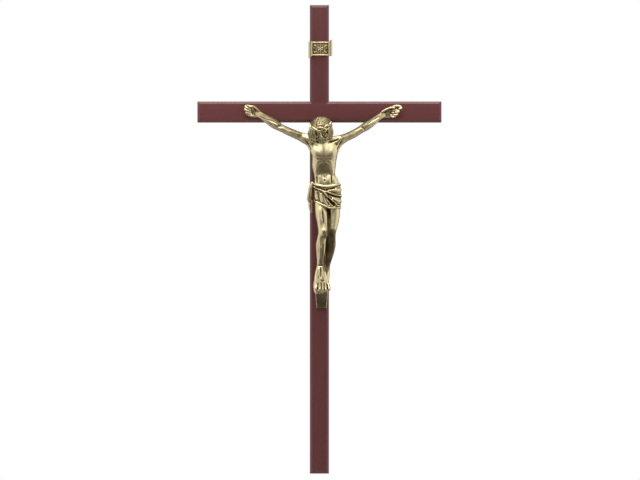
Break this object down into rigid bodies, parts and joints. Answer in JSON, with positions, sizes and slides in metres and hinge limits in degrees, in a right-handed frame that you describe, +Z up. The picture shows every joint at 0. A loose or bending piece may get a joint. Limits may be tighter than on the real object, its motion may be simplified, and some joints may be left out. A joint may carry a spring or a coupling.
{
  "type": "wall crucifix",
  "caption": "Wooden wall cross, half-lapped and chamfered, with a nailed cast metal figure, a small scroll plate above it and a swinging ring hanger on the back.",
  "frame": {"origin": "middle of the hanging ring's eye, on the plane of the cross's flat back", "axes": "+Z up along the upright, +Y out of the back towards the wall, so that the figure faces -Y; +X to the viewer's right, along the crossbar"},
  "size_m": [0.1588, 0.0317, 0.3048],
  "materials": {
    "stained_wood": "dark cherry stain under satin lacquer",
    "antique_brass": "cast, darkened in the recesses and rubbed bright on the high places",
    "dark_brass": "darkened nail heads",
    "bright_brass": "brass-plated stamping and wire"
  },
  "bodies": {
    "cross": {"upright": "stained_wood", "crossbar": "stained_wood", "corpus": "antique_brass", "palm_nails": "dark_brass", "foot_nail": "dark_brass", "titulus": "antique_brass", "titulus_pins": "dark_brass", "hanger_plate": "bright_brass", "hanger_nails": "bright_brass"},
    "ring": {"hanger_ring": "bright_brass"}
  },
  "joints": [
    {"name": "ring_swing", "type": "hinge", "parent": "cross", "child": "ring", "pos_m": [0, 0.0014, -0.0046], "axis": [-1, 0, 0], "range_deg": [-3, 180]}
  ]
}
